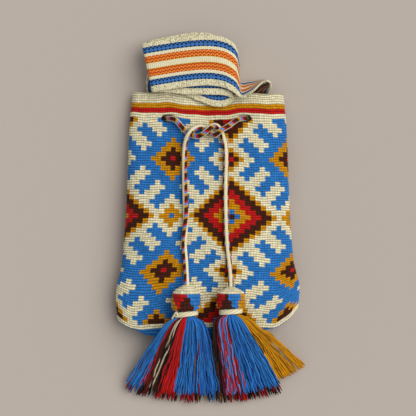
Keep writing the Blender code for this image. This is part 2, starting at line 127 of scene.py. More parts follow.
LAST_MEDIUM_DIAMOND = ("brown", "brown", "brown", "brown", "gold")
RIM_BANDS = {25: "cream", 24: "cream", 23: "gold", 22: "red", 21: "cream"}

# The drawstring's route, as in the part: (x, y, height) in millimetres. The height is how far the cord
# is lifted off the front, or above the floor where True follows, and "cap" is the tassels' height
CORD_ROUTE = [
    (-28.7, -104.9, "cap"), (-28.8, -95, "cap"), (-29.5, -83, 4), (-30.5, -68, 0), (-31.8, -48, 0),
    (-30, -10, 0), (-31.2, 30, 0), (-31.8, 62, 0), (-31.5, 80, 0.5), (-30, 90, 4.5),
    (-26.5, 98.5, 8.4), (-20, 105.8, 8), (-10, 109.4, 3), (-1.5, 105.8, 0), (3.5, 101.4, 0.5),
    (8, 98.6, 3.4), (12.5, 100, 7.4), (18, 104.5, 8.8), (29, 111.5, 4.6), (38.5, 118.8, 34, True),
    (44.5, 120.8, 30.2, True), (50.5, 121.4, 23.6, True), (57.5, 121.8, 17.8, True),
    (67, 121.6, 13.4, True), (80, 119, 11.5, True), (87, 114, 11.2, True),
    (80, 107, 8.5, True), (60, 104, 7.8, True), (30, 104, 7.6, True), (0, 104, 7.6, True),
    (-30, 104, 7.6, True), (-60, 104, 7.8, True), (-80, 107, 8.5, True), (-87, 114, 11.2, True),
    (-83, 119, 11.5, True), (-72, 121.6, 13.4, True), (-62.5, 121.8, 17.8, True),
    (-55.5, 121.4, 23.6, True), (-49.5, 120.8, 30.2, True), (-43.5, 118.4, 34, True),
    (-35, 109, 2), (-25.5, 100, 0), (-13, 96.4, 3.4), (-2, 103.2, 9), (3.5, 108.6, 7.8),
    (9, 111.2, 3.8), (14.5, 108.6, 0.3), (18, 102.5, 0), (20.8, 94, 0), (23.5, 82, 0),
    (24.3, 62, 0), (23.6, 30, 0), (24, -10, 0), (25.7, -48, 0), (27.8, -68, 0),
    (29.6, -83, 4), (30.5, -95, "cap"), (30.5, -104.9, "cap"),
]

# The strap's route through the same folds as in the part, with some places moved by up to 12 mm to
# where the photo shows them: near edge (x, y, z) in millimetres, the way to the far edge (azimuth,
# drop) in degrees, and the width in millimetres
STRAP_ROUTE = [
    (80, 130, 5.6, 180, 1, 30), (80.5, 144, 6.6, 180, 3, 30), (81, 153.5, 12, 178, 10, 31),
    (83, 158.5, 25, 175, 42, 33), (85, 163, 35, 160, 69, 35), (84.2, 168.5, 38.4, 130, 82, 36),
    (79, 171, 40.2, 100, 84, 38), (71.6, 167.5, 42.6, 95, 80, 41), (59.4, 155.5, 44, 93, 67, 46),
    (46.5, 148, 43, 96, 57, 49), (40, 151.5, 41, 87.5, 34, 60), (33.8, 156, 40.2, 87, 15, 67),
    (20, 162.5, 38.6, 89, 8, 69), (-1.4, 165.2, 38.4, 93, 7, 69), (-31, 162.8, 38.2, 97.5, 7, 69),
    (-58, 158.6, 37.8, 100.5, 7, 69), (-70.5, 156.6, 37.2, 102, 7, 69), (-74.4, 156, 35.3, 102.6, 7, 69),
    (-70.5, 156.6, 33.4, 101.5, 7, 69), (-58, 156, 33.2, 99, 7, 69), (-30, 153.5, 33.6, 93, 7, 69),
    (0, 153, 33.8, 92, 7, 69), (20, 152.4, 33.6, 95, 7, 69), (30.5, 149.4, 32.6, 100, 7, 69),
    (34.8, 146, 31.2, 102, 7, 69), (31, 141, 29.4, 100, 6, 69), (20, 137, 29.2, 95, 6, 69),
    (5.4, 138, 29.2, 92, 6, 69), (-10.8, 144, 29.2, 92, 6, 69), (-28, 151, 29, 92, 6, 69),
    (-46, 156.5, 28.8, 93, 6, 69), (-62, 158, 28.4, 94, 6, 69), (-70, 158.5, 27.6, 94, 6, 69),
    (-74, 158.5, 25.6, 94, 6, 69), (-70, 160.5, 23.6, 94, 5, 69), (-50, 164.5, 22.6, 93, 4, 69),
    (-20, 169.8, 22, 91, 3, 69), (6, 168.5, 21, 92, 3, 69), (20, 161, 19.6, 93, 4, 69),
    (24.6, 158.5, 17.3, 94, 5, 69), (20, 158.5, 15, 94, 5, 69), (0, 158.5, 13.8, 92, 5, 69),
    (-18, 158.5, 12.3, 91, 4, 69), (-36, 159, 10.6, 98, 4, 62), (-48, 158.6, 9, 122, 2, 48),
    (-53.5, 154, 7.4, 152, 0, 36), (-53, 147, 6, 172, -1, 30), (-52.5, 139, 5.1, 180, -2, 30),
    (-52.5, 130, 4.9, 180, -2, 30),
]


def through(stops, at):
    """Smooth values at places, through (place, value) stops in rising order."""
    places = np.array([s[0] for s in stops], float)
    values = np.array([s[1] for s in stops], float)
    at = np.clip(np.asarray(at, float), places[0], places[-1])
    k = np.clip(np.searchsorted(places, at, side="left") - 1, 0, len(places) - 2)
    low = np.maximum(np.arange(len(places)) - 1, 0)
    high = np.minimum(np.arange(len(places)) + 1, len(places) - 1)
    slopes = (values[high] - values[low]) / (places[high] - places[low])
    span = places[k + 1] - places[k]
    u = (at - places[k]) / span
    return ((2 * u ** 3 - 3 * u ** 2 + 1) * values[k] + (u ** 3 - 2 * u ** 2 + u) * span * slopes[k]
            + (3 * u ** 2 - 2 * u ** 3) * values[k + 1] + (u ** 3 - u ** 2) * span * slopes[k + 1])


def ease(value):
    value = np.clip(value, 0.0, 1.0)
    return value * value * (3.0 - 2.0 * value)


def half_width(row):
    return through(WIDTH_STOPS, row)


def thickness(row):
    return through(DEPTH_STOPS, row)


def front_height(x, y):
    row = (y - ROW_ZERO_Y) / ROW_HEIGHT
    side = np.minimum(1.0, np.abs(x) / half_width(row)) ** (SQUARENESS / 2)
    return thickness(row) / 2 * (1 + (1 - side * side) ** (1 / SQUARENESS)) - BACK_SINK


def tassel_height():
    return float(front_height(0.0, TASSEL_TOP_Y - CAP_LENGTH / 2)) + CAP_RADIUS * CAP_FLATNESS + CAP_GAP


def row_y(row, x, width):
    y = ROW_ZERO_Y + row * ROW_HEIGHT
    side = np.clip(x / width, -1.0, 1.0)
    near_base = ease((-6 - row) / (-6 - LAST_ROW))
    near_mouth = ease((row - 12) / (TOP_ROW - 12))
    corner_lift = np.where(side < 0, LEFT_CORNER_LIFT, RIGHT_CORNER_LIFT)
    y = y + near_base * (corner_lift * np.abs(side) ** CORNER_POWER - BASE_DROP)
    for eyelet in EYELETS:
        y = y + near_mouth * RIM_LIFT * np.exp(-((x - eyelet) / RIM_LIFT_LENGTH) ** 2)
    return y


ANGLES = math.pi - 2 * math.pi * np.arange(721) / 720


def body_loop(row, fractions, inset=0.0):
    """Points of one course at fractions of the way round, from the left edge over the front."""
    width, depth = float(half_width(row)) - inset, float(thickness(row)) - 2 * inset
    c, s = np.cos(ANGLES), np.sin(ANGLES)
    x = width * np.sign(c) * np.abs(c) ** (2 / SQUARENESS)
    z = np.maximum(depth / 2 * (1 + np.sign(s) * np.abs(s) ** (2 / SQUARENESS)) - BACK_SINK, 0.0)
    length = np.concatenate([[0], np.cumsum(np.hypot(np.diff(x), np.diff(z)))])
    at = ((fractions + SPIRAL_LEAN * min(row, 0) / COLUMNS) % 1.0) * length[-1]
    px, pz = np.interp(at, length, x), np.interp(at, length, z)
    return np.stack([px, row_y(row, px, float(half_width(row))), pz + inset], axis=1)


def block_colour(column, row):
    """Yarn of one pattern block: stepped diamonds and bars, mirrored about each twelfth block."""
    if row > PATTERN_TOP_ROW:
        return RIM_BANDS[row]
    if row == LAST_ROW:
        return "cream"
    half = TILE // 2
    across, along = abs(column % TILE - half), abs(row % TILE - half)
    low = row < -half
    for distance, rings in (
        (2 * half - across - along, LAST_LARGE_DIAMOND if low else LARGE_DIAMOND),
        (across + along, MEDIUM_DIAMOND),
        (across + half - along, LAST_MEDIUM_DIAMOND if low else SMALL_GOLD_DIAMOND),
        (half - across + along, SMALL_DARK_DIAMOND),
    ):
        if distance < len(rings):
            return rings[distance]
    bars = (
        abs(across + along - 6) <= 1 and along <= 6, abs(across - along - 6) <= 1 and along <= 3,
        abs(along - across - 6) <= 1 and 6 <= along <= 9, abs(across - along) <= 1 and 3 <= along <= 6,
        (across, along) in ((9, 4), (3, 10), (6, 7)),
    )
    return "blue" if any(bars) else "cream"


def new_piece(name, points, faces, corner_colours, material):
    """A smooth mesh piece from arrays, with a colour on each face corner and no unused points."""
    used, faces = np.unique(np.asarray(faces, dtype=np.int64), return_inverse=True)
    faces = faces.reshape(-1, 4).astype(np.int32)
    points = np.asarray(points).reshape(-1, 3)[used]
    mesh = bpy.data.meshes.new(name)
    mesh.vertices.add(len(points))
    mesh.vertices.foreach_set("co", points.astype(np.float32).ravel())
    mesh.loops.add(faces.size)
    mesh.loops.foreach_set("vertex_index", faces.ravel())
    mesh.polygons.add(len(faces))
    mesh.polygons.foreach_set("loop_start", np.arange(0, faces.size, 4, dtype=np.int32))
    mesh.polygons.foreach_set("loop_total", np.full(len(faces), 4, dtype=np.int32))
    mesh.update(calc_edges=True)
    colour = mesh.color_attributes.new("yarn", "FLOAT_COLOR", "CORNER")
    rgba = np.ones((faces.size, 4), dtype=np.float32)
    rgba[:, :3] = np.asarray(corner_colours, dtype=np.float32).reshape(-1, 3)
    colour.data.foreach_set("color", rgba.ravel())
    mesh.polygons.foreach_set("use_smooth", np.full(len(faces), True))
    mesh.materials.append(material)
    mesh.validate()
    piece = bpy.data.objects.new(name, mesh)
    bpy.context.scene.collection.objects.link(piece)
    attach(piece, "root")
    return piece


def grid_faces(rows, columns, wrap):
    """Vertex numbers of the quads of a grid, row by row."""
    r = np.arange(rows - 1)[:, None]
    c = np.arange(columns if wrap else columns - 1)[None, :]
    after = (c + 1) % columns
    return np.stack([r * columns + c, r * columns + after,
                     (r + 1) * columns + after, (r + 1) * columns + c], axis=-1)


def grid_normals(points):
    """Normals of a grid whose rows are closed loops."""
    across = np.roll(points, -1, axis=1) - np.roll(points, 1, axis=1)
    normals = np.cross(np.gradient(points, axis=0), across)
    return normals / np.maximum(np.linalg.norm(normals, axis=-1, keepdims=True), 1e-12)


def shaded(colours, shade, faces):
    """Corner colours: one yarn to a face, with painted shade where the surface lies deep between
    stitches.
    """
    return colours[..., None, :] * shade.reshape(-1)[faces][..., None]


def tubes(paths, radii, sides, colours, up=(0.0, 0.0, 1.0)):
    """Tubes along many paths at once: points, faces and corner colours.
    paths is (tubes, steps, 3), radii (tubes, steps) or (tubes, steps, sides), colours (tubes, steps, 3)
    or (tubes, steps, sides, 3)."""
    count, steps, _ = paths.shape
    forward = np.gradient(paths, axis=1)
    forward /= np.maximum(np.linalg.norm(forward, axis=-1, keepdims=True), 1e-12)
    top = np.broadcast_to(np.asarray(up, float), forward.shape)
    top = top - forward * np.sum(top * forward, axis=-1, keepdims=True)
    top /= np.maximum(np.linalg.norm(top, axis=-1, keepdims=True), 1e-12)
    side = np.cross(forward, top)
    angles = 2 * math.pi * np.arange(sides) / sides
    if radii.ndim == 2:
        radii = np.repeat(radii[:, :, None], sides, axis=2)
    ring = (top[:, :, None] * np.cos(angles)[None, None, :, None]
            + side[:, :, None] * np.sin(angles)[None, None, :, None])
    points = (paths[:, :, None] + ring * radii[..., None]).reshape(-1, 3)
    one = grid_faces(steps, sides, True)
    faces = (one[None] + (np.arange(count) * steps * sides)[:, None, None, None]).reshape(-1, 4)
    if colours.ndim == 3:
        colours = np.repeat(colours[:, :, None], sides, axis=2)
    return points, faces, colours.reshape(-1, 3)[faces.ravel()]


def yarn_material(name, fibre, bump, vary, sheen=0.08):
    """Matte yarn: its colour from the piece, with fibre-scale shade and bump."""
    material = bpy.data.materials.new(name)
    material.use_nodes = True
    nodes, links = material.node_tree.nodes, material.node_tree.links
    shader = nodes["Principled BSDF"]
    shader.inputs["Roughness"].default_value = 0.9
    shader.inputs["Metallic"].default_value = 0.0
    shader.inputs["Specular IOR Level"].default_value = 0.16
    shader.inputs["Sheen Weight"].default_value = sheen
    shader.inputs["Sheen Roughness"].default_value = 0.5
    place = nodes.new("ShaderNodeTexCoord")
    colour = nodes.new("ShaderNodeAttribute")
    colour.attribute_name = "yarn"
    fine = nodes.new("ShaderNodeTexNoise")
    fine.inputs["Scale"].default_value = fibre
    fine.inputs["Detail"].default_value = 3.0
    links.new(place.outputs["Object"], fine.inputs["Vector"])
    broad = nodes.new("ShaderNodeTexNoise")
    broad.inputs["Scale"].default_value = 60.0
    broad.inputs["Detail"].default_value = 2.0
    links.new(place.outputs["Object"], broad.inputs["Vector"])
    both = nodes.new("ShaderNodeMath")
    both.operation = "MULTIPLY_ADD"
    both.inputs[1].default_value = 0.4
    links.new(broad.outputs["Fac"], both.inputs[0])
    links.new(fine.outputs["Fac"], both.inputs[2])
    level = nodes.new("ShaderNodeMapRange")
    level.inputs["From Min"].default_value = 0.45
    level.inputs["From Max"].default_value = 0.95
    level.inputs["To Min"].default_value = 1.0 - vary
    level.inputs["To Max"].default_value = 1.0 + vary * 0.6
    links.new(both.outputs[0], level.inputs["Value"])
    tint = nodes.new("ShaderNodeVectorMath")
    tint.operation = "SCALE"
    links.new(colour.outputs["Color"], tint.inputs[0])
    links.new(level.outputs["Result"], tint.inputs["Scale"])
    links.new(tint.outputs["Vector"], shader.inputs["Base Color"])
    raised = nodes.new("ShaderNodeBump")
    raised.inputs["Strength"].default_value = bump
    raised.inputs["Distance"].default_value = 0.0006
    links.new(fine.outputs["Fac"], raised.inputs["Height"])
    links.new(raised.outputs["Normal"], shader.inputs["Normal"])
    return material


# Low hills of the front and ripples of its pattern: (size, waves across, waves along, phase)
HILLS = ((0.0008, 61, 23, 0.6), (0.0007, 34, -71, 2.1), (0.0005, 97, 52, 4.0))
RIPPLES = ((0.0004, 210, 90, 0.0), (0.0004, 77, -130, 1.0))
VALLEY_DEPTH = 0.0026
GATHER_DEPTH = 0.0012


def waves(table, x, y):
    return sum(size * np.sin(x * across + y * along + phase) for size, across, along, phase in table)


def settle(x, y):
    """How far the front lies above its plain form: low hills, a valley under the knot, gathers."""
    valley = VALLEY_DEPTH * np.exp(-((x + 0.003) / 0.02) ** 2)
    valley = valley * ease(y / 0.08) * ease((0.15 - y) / 0.03)
    gather = sum(GATHER_DEPTH * np.exp(-((x - e) / 0.014) ** 2 - ((y - EYELET_Y) / 0.02) ** 2)
                 for e in EYELETS)
    off_sides = ease((x + 0.125) / 0.03) * ease((0.125 - x) / 0.03)
    return (waves(HILLS, x, y) - valley - gather) * off_sides


# How far the pattern lies moved on the front, in millimetres: up, at places (x, y), and to the
# right, by share of the way round from the left edge
LIFT_X = (-103, -81, -59, -38, -16, 5, 27, 49, 70, 92)
LIFT_Y = (-142, -104, -66, -28, 28, 85, 142)
LIFT = (
    (0, 6, 8.5, 7.5, 7, 8, 8, 7.5, 4.5, -1),
    (1.4, 5.5, 8, 8, 8, 8.5, 7, 4, 1.5, -2),
    (1.2, 1.5, 2.7, 3.5, 3.8, 3.3, 1.5, 0.8, -1.2, -2.7),
    (0.5, 0.5, 0.8, 1.3, 1.3, 1.2, 0, -1.2, -3.3, -3),
    (1.4, 1.3, 1.2, 1.2, 1.2, 1, 0.5, -0.5, -1.3, -1),
    (4, 2.7, 1.5, 1.2, 1.2, 1, 0, 0, 0, 1.3),
    (5.4, 2.9, 1.5, 1, 0, 0, 0, 0.5, 1, 2.7),
)
SHIFT = [(0.0, -4.5), (0.04, -3.4), (0.085, -0.6), (0.13, 0.6), (0.217, 1.2), (0.26, 1.6), (0.305, 2.6),
         (0.35, 4.4), (0.393, 6.4), (0.438, 7.8), (0.5, 8.5), (0.62, 6.0), (0.85, 0.0), (1.0, -4.5)]
# The way round the body in the same unit, and the rows over which the move to the right fades out
# towards the base
LOOP_LENGTH = 488.0
SHIFT_FADE_ROWS = 12

# What belongs to the front, by height as a share of the loop's highest place: (where it starts,
# how much further until it fully does)
FORM_FRONT = (0.5, 0.35)
PATTERN_FRONT = (0.1, 0.4)

# The base's puffed corner: its place, its reach, and how far it is moved out and down
PUFF_X = -0.085
PUFF_Y = -0.085
PUFF_REACH = 0.035
PUFF_OUT = 0.0024
PUFF_DOWN = 0.0038

# The rim's round edge, from the inside wall outwards: (inset as a share of the wall, height)
RIM_EDGE = ((1, -0.0025), (0.9, 0.0002), (0.6, 0.0012), (0.27, 0.0011))
RIM_ARCH = 0.0006
LINING_ROWS = range(LAST_ROW + 2, TOP_ROW - 1, 3)

# An eyelet's open slit in the front, its edge turned in, and the sunken ring round it as a share
# of the slit's size. The inside wall is open in a round hole behind it
FRONT_ABOVE = 0.012
SLIT_HALF_LENGTH = 0.0092
SLIT_HALF_WIDTH = 0.0052
SLIT_UP = 0.0002
SLIT_TURN_IN = 0.0026
SLIT_RING = 1.35
SLIT_RING_SINK = 0.0012
LINING_HOLE_RADIUS = 0.012


def lift(x, y):
    """How far up the pattern lies moved at places on the front, in metres."""
    x, y = x * 1000, y * 1000
    table = np.array(LIFT, float)
    rows = np.stack([np.interp(x, LIFT_X, row) for row in table])
    at = np.interp(y, LIFT_Y, np.arange(len(LIFT_Y)))
    low = np.minimum(at.astype(int), len(LIFT_Y) - 2)
    part = ease(at - low)
    below = np.take_along_axis(rows, low[None], axis=0)[0]
    above = np.take_along_axis(rows, low[None] + 1, axis=0)[0]
    return (below + (above - below) * part) / 1000


def base_loop(last, share):
    """A loop of the base, at a share of the last course's size."""
    middle_z, lowest = last[:, 2].mean(), last[:, 1].min()
    return np.stack([last[:, 0] * share,
                     lowest - BASE_DOME * (1 - share ** 2) + (last[:, 1] - lowest) * share ** 2,
                     middle_z + (last[:, 2] - middle_z) * share], axis=1)


def front_share(heights, highest, zone):
    """How far places belong to the front, from 0 to 1."""
    start, further = zone
    return ease((heights / highest - start) / further)


def course_loops(fractions, t):
    """Loops along the body's courses from the mouth down, and then round the base."""
    lean = STITCH_LEAN * np.where(t > 0, t - 0.5, 0.0) / STITCHES
    shift = np.interp(fractions, *zip(*SHIFT)) / LOOP_LENGTH
    loops = []
    for k in range(COURSES * COURSE + 1):
        row = TOP_ROW + 0.5 - k / (2 * COURSE)
        fade = ease((row - LAST_ROW) / SHIFT_FADE_ROWS)
        loops.append(body_loop(row, fractions + lean[k] + shift * fade))
    for k in range(1, BASE_COURSES * COURSE + 1):
        loops.append(base_loop(loops[COURSES * COURSE], 1 - BASE_CLOSES * k / (BASE_COURSES * COURSE)))
    return np.array(loops)


def stitch_heights(t, s, course, stitch):
    """How far each place stands out of its stitch's valleys, from 0 to about 1."""
    over = (s[None, :] + 0.3 * t[:, None]) % 1.0
    swell = 0.34 + 0.66 * np.sin(math.pi * np.clip(over + 0.12, 0, 1)) ** 0.7
    height = swell * np.where(t == 0, 0.0, np.where(t == 0.5, 1.0, 0.84))[:, None]
    lump = rng.random((course.max() + 1, STITCHES))[course[:, None], stitch[None, :]]
    return height * (0.84 + 0.26 * lump)


def settled(points):
    """The stitched loops with their pattern, corner and hills moved to where the photo shows them."""
    x, y = points[..., 0].copy(), points[..., 1].copy()
    last = COURSES * COURSE
    highest = points[..., 2].max(axis=1, keepdims=True)
    highest[last:] = highest[last]
    on_front = front_share(points[..., 2], highest, FORM_FRONT)
    above_base = ease(1 - (np.arange(len(points)) - last) / (3 * COURSE))[:, None]
    points[..., 1] += front_share(points[..., 2], highest, PATTERN_FRONT) * above_base * lift(x, y)
    puff = np.exp(-((x - PUFF_X) / PUFF_REACH) ** 2) * ease((PUFF_Y - y) / PUFF_REACH)
    points[..., 0] -= PUFF_OUT * puff
    points[..., 1] -= PUFF_DOWN * puff
    points[..., 2] += on_front * settle(x, y)
    points[..., 1] += on_front * waves(RIPPLES, x, y)
    return points


def lining_loops(fractions):
    """Loops up the inside wall, and round the rim's edge with one small arch to a stitch."""
    arch = RIM_ARCH * np.abs(np.sin(math.pi * fractions * STITCHES))
    loops = [body_loop(row, fractions, WALL) for row in LINING_ROWS]
    for share, up in RIM_EDGE:
        loop = body_loop(TOP_ROW + 0.5, fractions, share * WALL)
        loop[:, 1] += up + arch
        loops.append(loop)
    loops = np.array(loops)
    above = front_share(loops[..., 2], loops[..., 2].max(axis=1, keepdims=True), FORM_FRONT)
    loops[..., 2] += above * settle(loops[..., 0], loops[..., 1])
    near_front = front_share(loops[..., 2], loops[..., 2].max(axis=1, keepdims=True), PATTERN_FRONT)
    loops[..., 1] += near_front * lift(loops[..., 0], loops[..., 1])
    return loops


def stitch_yarns():
    """Yarn of each stitch of each course, a little lighter or darker from one to the next."""
    yarns = np.empty((COURSES + BASE_COURSES, STITCHES, 3))
    yarns[COURSES:] = YARN["blue"]
    for n in range(COURSES):
        line = [YARN[block_colour(b + COLUMN_AT_LEFT, TOP_ROW - n // 2)] for b in range(COLUMNS)]
        yarns[n] = np.repeat(line, 2, axis=0)
    return yarns * (0.86 + 0.24 * rng.random((COURSES + BASE_COURSES, STITCHES)))[..., None]


def open_eyelets(points, faces, lead):
    """Turn the edge of each slit inwards, and say which faces stay once it is open.
    The first lead loops are the inside wall's."""
    keep = np.ones(faces.shape[:2], bool)
    outer = (points[:, 2] > FRONT_ABOVE) & (np.arange(len(points)) >= lead * faces.shape[1])
    centre = points[faces].mean(axis=2)
    for e in EYELETS:
        dx, dy = points[:, 0] - e, points[:, 1] - EYELET_Y - SLIT_UP
        reach = np.hypot(dx / SLIT_HALF_LENGTH, dy / SLIT_HALF_WIDTH)
        within = (reach < 1) & outer
        keep &= ~np.all(within[faces], axis=-1)
        scale = np.where(within, 1 / np.maximum(reach, 1e-6), 1.0)
        points[:, 0] = e + dx * scale
        points[:, 1] = EYELET_Y + SLIT_UP + dy * scale
        points[:, 2] -= np.where(within, SLIT_TURN_IN, 0.0)
        ring = (reach >= 1) & (reach < SLIT_RING) & outer
        points[:, 2] -= np.where(ring, SLIT_RING_SINK * (SLIT_RING - reach) / (SLIT_RING - 1), 0.0)
        behind = np.hypot((centre[..., 0] - e) / LINING_HOLE_RADIUS,
                          (centre[..., 1] - EYELET_Y) / LINING_HOLE_RADIUS) < 1
        keep[:lead] &= ~(behind & (centre[..., 2] > FRONT_ABOVE))[:lead]
    return keep


def make_body(material):
    front = np.arange(STITCHES // 2 * FRONT_STITCH)
    back = np.arange(STITCHES // 2 * BACK_STITCH)
    fractions = np.concatenate([front / (2 * len(front)), 0.5 + back / (2 * len(back))])
    stitch = np.concatenate([front // FRONT_STITCH, STITCHES // 2 + back // BACK_STITCH])
    s = np.concatenate([front % FRONT_STITCH / FRONT_STITCH, back % BACK_STITCH / BACK_STITCH])
    total = (COURSES + BASE_COURSES) * COURSE + 1
    course = np.arange(total) // COURSE
    t = np.arange(total) % COURSE / COURSE
    points = course_loops(fractions, t)
    normals = grid_normals(points)
    if normals[COURSE, len(fractions) // 4, 2] < 0:
        normals = -normals
    height = stitch_heights(t, s, course, stitch)
    off_floor = ease((points[..., 2] - FLAT_BELOW) / FLAT_FADE)
    points = points + normals * ((STITCH_RELIEF * height - STITCH_SINK) * off_floor)[..., None]
    lining = lining_loops(fractions)
    lead, inside = len(lining), len(LINING_ROWS)
    points = np.concatenate([lining, settled(points)])

    colours = np.ones((len(points) - 1, len(fractions), 3)) * YARN["cream"]
    # Painted shade over the inside wall, in its colour here and again in its shade below
    colours[:inside] *= 0.8
    colours[lead:] = stitch_yarns()[course[:-1][:, None], stitch[None, :]]
    # Painted shade in the valleys between the stitches, and painted highlight on their tops
    shade = np.ones(points.shape[:2])
    shade[lead:] = 0.32 + 0.84 * np.clip(height, 0, 1)
    shade[:inside] = 0.7
    faces = grid_faces(len(points), len(fractions), True)
    corner = shaded(colours, shade, faces)

    points = points.reshape(-1, 3)
    keep = open_eyelets(points, faces, lead)
    is_front = np.zeros(keep.shape, bool)
    is_front[lead:, :len(front)] = True
    is_back = np.zeros(keep.shape, bool)
    is_back[lead:, len(front):] = True
    for name, part in (("crocheted_front", is_front), ("crocheted_back", is_back),
                       ("crocheted_lining", ~is_front & ~is_back)):
        piece = new_piece(name, points, faces[keep & part], corner[keep & part], material)
        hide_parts("bag_body")


def even_line(fine, count):
    """Points at even distances along a line, measured on its first three coordinates."""
    length = np.concatenate([[0], np.cumsum(np.linalg.norm(np.diff(fine[:, :3], axis=0), axis=1))])
    at = np.linspace(0, length[-1], count)
    return np.stack([np.interp(at, length, fine[:, k]) for k in range(fine.shape[1])], axis=1), length[-1]


def curve_line(points, parts=24):
    """Points on the smooth curve through the given points."""
    points = np.asarray(points, float)
    last = len(points) - 1
    fine = []
    for k in range(last):
        b, s, e, a = (points[min(max(k + j, 0), last)] for j in (-1, 0, 1, 2))
        for part in range(parts):
            u = part / parts
            fine.append(0.5 * (2 * s + (e - b) * u + (2 * b - 5 * s + 4 * e - a) * u ** 2
                               + (3 * s - b - 3 * e + a) * u ** 3))
    fine.append(points[last])
    return np.array(fine)


# How the cord lies twisted: (metres from the left cap, degrees). At 0 or 180 its coloured face is
# up, with a cream line at each side, and at 90 or 270 one of its cream lines is up
CORD_TWIST = [(0.0, 135), (0.065, 138), (0.085, 168), (0.10, 195), (0.125, 216), (0.155, 224),
              (0.18, 242), (0.205, 262), (0.225, 240), (0.245, 190), (0.29, 180), (0.60, 180),
              (0.635, 180), (0.665, 230), (0.69, 248), (0.72, 260), (0.78, 266), (0.84, 272), (0.89, 272)]
CORD_BANDS = ((0.0, 0.19, "gold"), (0.19, 0.36, "sky"), (0.36, 0.54, "red"), (0.54, 1.0, "brown"))
CORD_REPEAT = 0.0155
CORD_PITCH = 0.0052
BAND_BEND = 0.0016
CORD_STEP = 0.0008
CORD_SIDES = 28
# The cord gets painted shade where it goes inside, beyond this x: from this depth below the front,
# over a further depth, down to this share of its light
DARK_FROM_X = 0.04
DARK_FROM = 0.001
DARK_OVER = 0.005
DARKEST = 0.15


def make_cord(material):
    route = []
    for x, y, height, *from_floor in CORD_ROUTE:
        x, y = x / 1000, y / 1000
        if height == "cap":
            z = tassel_height()
        elif from_floor:
            z = height / 1000
        else:
            z = float(front_height(x, y)) + CORD_DIAMETER / 2 + CORD_GAP + height / 1000
        route.append((x, y, z))
    fine = curve_line(route)
    full = float(np.sum(np.linalg.norm(np.diff(fine, axis=0), axis=1)))
    line, length = even_line(fine, round(full / CORD_STEP))
    s = np.linspace(0, length, len(line))[:, None]
    angle = (2 * math.pi * np.arange(CORD_SIDES) / CORD_SIDES)[None, :]
    # Two families of strands cross each other round the cord
    one = np.sin(2 * math.pi * s / CORD_PITCH + 3 * angle)
    two = np.sin(2 * math.pi * s / CORD_PITCH - 3 * angle)
    bumps = np.abs(one * two) ** 0.6
    radius = CORD_DIAMETER / 2 * (0.91 + 0.11 * bumps)
    around = angle - np.radians(through(CORD_TWIST, s))
    band = ((s + BAND_BEND * np.sin(around)) / CORD_REPEAT) % 1.0
    cream = np.abs(np.sin(around)) > 0.80 + 0.05 * np.sin(2 * math.pi * s / (CORD_PITCH / 2))
    colours = np.empty((1, len(line), CORD_SIDES, 3))
    colours[0] = YARN["cream"]
    for low, high, name in CORD_BANDS:
        colours[0][~cream & (band >= low) & (band < high)] = YARN[name]
    # Painted shade on the cord where it lies inside the eyelets
    below = front_height(line[:, 0], line[:, 1]) - line[:, 2]
    inside_shade = DARKEST + (1 - DARKEST) * ease(1 - (below - DARK_FROM) / DARK_OVER)
    light = np.where(np.abs(line[:, 0]) > DARK_FROM_X, inside_shade, 1.0)
    # Painted shade in the grooves between the crossing strands, and painted highlight on the strands
    colours[0] *= ((0.60 + 0.50 * bumps) * light[:, None])[..., None]
    points, faces, corner = tubes(line[None], radius[None], CORD_SIDES, colours)
    cord = new_piece("braided_drawstring", points, faces, corner, material)
    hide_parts("drawstring")


# Across the strap from its far edge: (where the stripe ends as a share of the width, its kind)
STRIPES = [(0.100, "selvedge"), (0.222, "check"), (0.280, "cream"), (0.412, "zigzag"), (0.428, "gold"),
           (0.532, "cream"), (0.548, "gold"), (0.686, "zigzag"), (0.746, "cream"), (0.872, "check"),
           (1.001, "selvedge")]
STRAP_ACROSS = 64
STRAP_STEP = 0.00125
CHECK = 0.0025
WAVE = 0.005
# The checks lie in rows two cells wide. These are the last row of each field, counted from the near
# edge, and the row without checks, counted back from the field's last
NEAR_CHECK_END = 7
FAR_CHECK_END = 28
PLAIN_CHECK_ROW = 2
# The loop's inside, towards the mouth, gets little light along its first stretch, so both faces there are
# painted darker as shade
INSIDE_LENGTH = 0.036
INSIDE_FADE = 0.014
SPECKS = 0.22
# The coloured warps of the checks and zigzags cover the ribs' gaps, so these stripes are made lighter
# against the ribs' painted shade
WARP_GAIN = 1.12


def strap_colours(steps):
    """Colours of the strap's woven cells, and the names of their stripes, from its near edge."""
    across = np.arange(STRAP_ACROSS)[None, :]
    s = (np.arange(steps) * STRAP_STEP)[:, None]
    share = 1 - (across + 0.5) / STRAP_ACROSS + 0 * s
    kind = np.searchsorted([high for high, _ in STRIPES], share, side="right")
    kinds = np.array([name for _, name in STRIPES])[kind]
    colours = np.ones((steps, STRAP_ACROSS, 3)) * YARN["cream"]
    upper = across > STRAP_ACROSS // 2
    check_row = np.where(upper, FAR_CHECK_END, NEAR_CHECK_END) - across // 2
    checks = ((check_row + np.floor(s / CHECK)) % 2 == 1) | (check_row == PLAIN_CHECK_ROW)
    wave = np.round(np.abs((s / WAVE) % 1.0 - 0.5) * 4)
    line = (across + wave + np.where(upper, 0, 2)) % 4 < 2
    speck = rng.random((steps, STRAP_ACROSS)) < SPECKS
    for name, where in (
        ("denim", (kinds == "check") & checks), ("navy", (kinds == "check") & ~checks),
        ("rust", (kinds == "zigzag") & ~line), ("orange", (kinds == "zigzag") & line),
        ("gold", kinds == "gold"),
    ):
        colours[where] = YARN[name]
    colours[(kinds == "selvedge") & speck] *= 0.5
    # Painted shade along the loop's first stretch
    colours *= (0.3 + 0.7 * ease((s - INSIDE_LENGTH) / INSIDE_FADE))[..., None]
    return colours * (0.92 + 0.14 * rng.random((steps, STRAP_ACROSS)))[..., None], kinds


